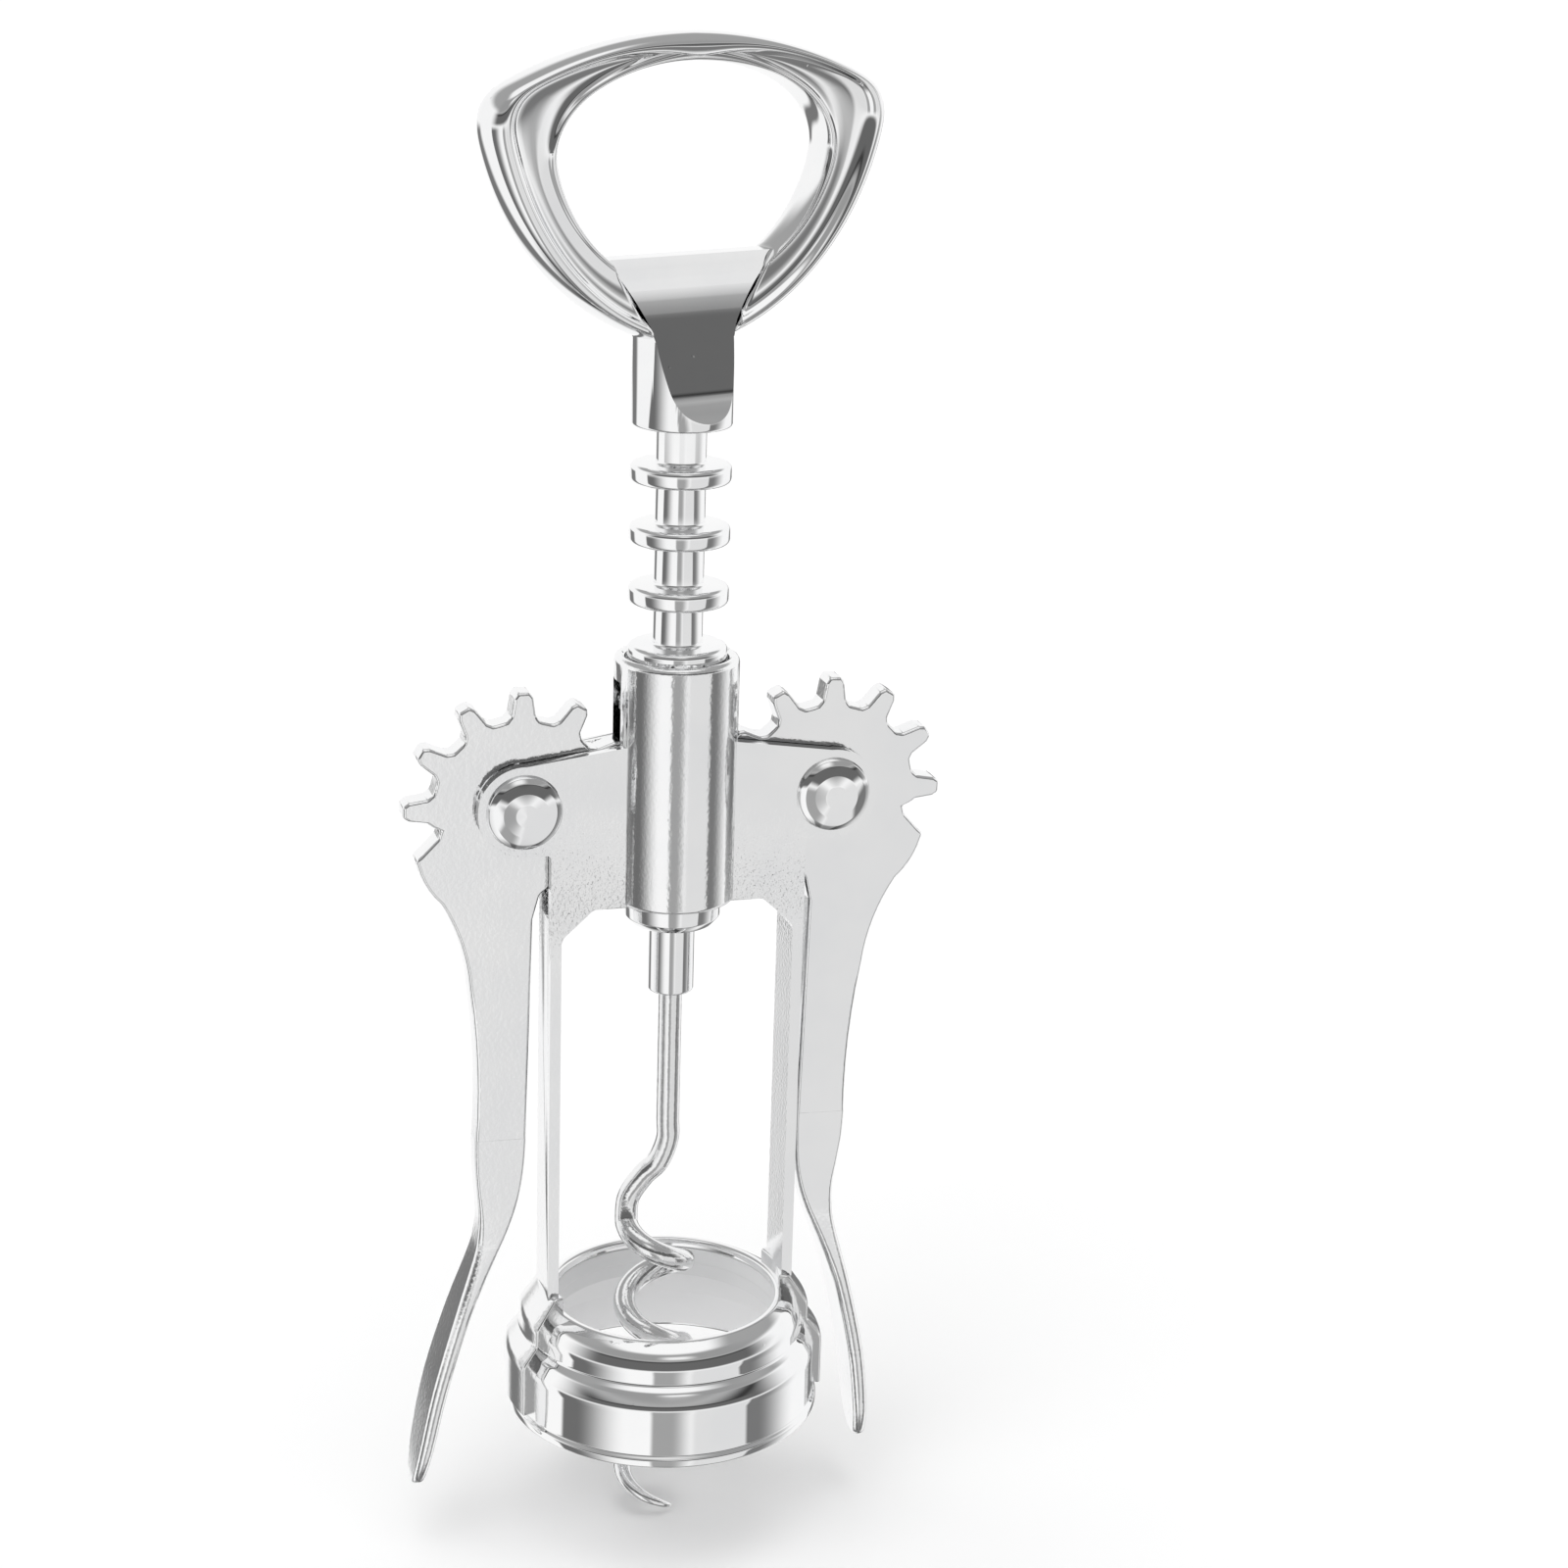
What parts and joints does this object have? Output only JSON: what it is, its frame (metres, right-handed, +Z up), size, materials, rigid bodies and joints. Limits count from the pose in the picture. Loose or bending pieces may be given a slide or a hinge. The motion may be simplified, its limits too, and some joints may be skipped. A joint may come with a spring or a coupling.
{
  "type": "lever corkscrew",
  "caption": "Tall two-lever corkscrew: a ringed rack and worm slide down through a geared frame on a bell as the levers rise; the looped handle turns the worm and lifts caps.",
  "frame": {"origin": "centre of the bell's bottom rim, where the bottle's neck enters", "axes": "+Z up along the worm's axis, +X towards the right lever seen from the front, front towards -Y"},
  "size_m": [0.0592, 0.035, 0.1653],
  "materials": {
    "frame_metal": "polished plating over a slightly pebbled casting",
    "bell_metal": "polished plating",
    "liner_plastic": "plain grey, matte",
    "lever_metal": "polished plating over a slightly pebbled casting",
    "pivot_metal": "polished plating",
    "rack_metal": "polished plating",
    "collar_metal": "polished plating, a little softer",
    "worm_wire": "drawn wire, plated",
    "handle_metal": "polished plating"
  },
  "bodies": {
    "frame": {"frame": "frame_metal", "bell": "bell_metal", "bell_liner": "liner_plastic", "left_pivot": "pivot_metal", "right_pivot": "pivot_metal"},
    "left_lever": {"left_lever": "lever_metal"},
    "right_lever": {"right_lever": "lever_metal"},
    "slider": {"guide_collar": "collar_metal"},
    "spindle": {"rack": "rack_metal", "worm": "worm_wire", "handle": "handle_metal"}
  },
  "joints": [
    {"name": "left_lever_turn", "type": "hinge", "parent": "frame", "child": "left_lever", "pos_m": [-0.017, 0, 0.07165], "axis": [0, 1, 0], "range_deg": [0, 110]},
    {"name": "right_lever_turn", "type": "hinge", "parent": "frame", "child": "right_lever", "pos_m": [0.017, 0, 0.07165], "axis": [0, 1, 0], "range_deg": [-110, 0]},
    {"name": "rack_slide", "type": "slide", "parent": "frame", "child": "slider", "axis": [0, 0, 1], "range_m": [-0.0238, 0]},
    {"name": "handle_spin", "type": "hinge", "parent": "slider", "child": "spindle", "pos_m": [0, 0, 0.059], "axis": [0, 0, 1], "continuous": true}
  ],
  "couplings": [
    {"joint": "right_lever_turn", "follows": "left_lever_turn", "ratio": -1},
    {"joint": "rack_slide", "follows": "left_lever_turn", "m_per_rad": -0.012384}
  ]
}
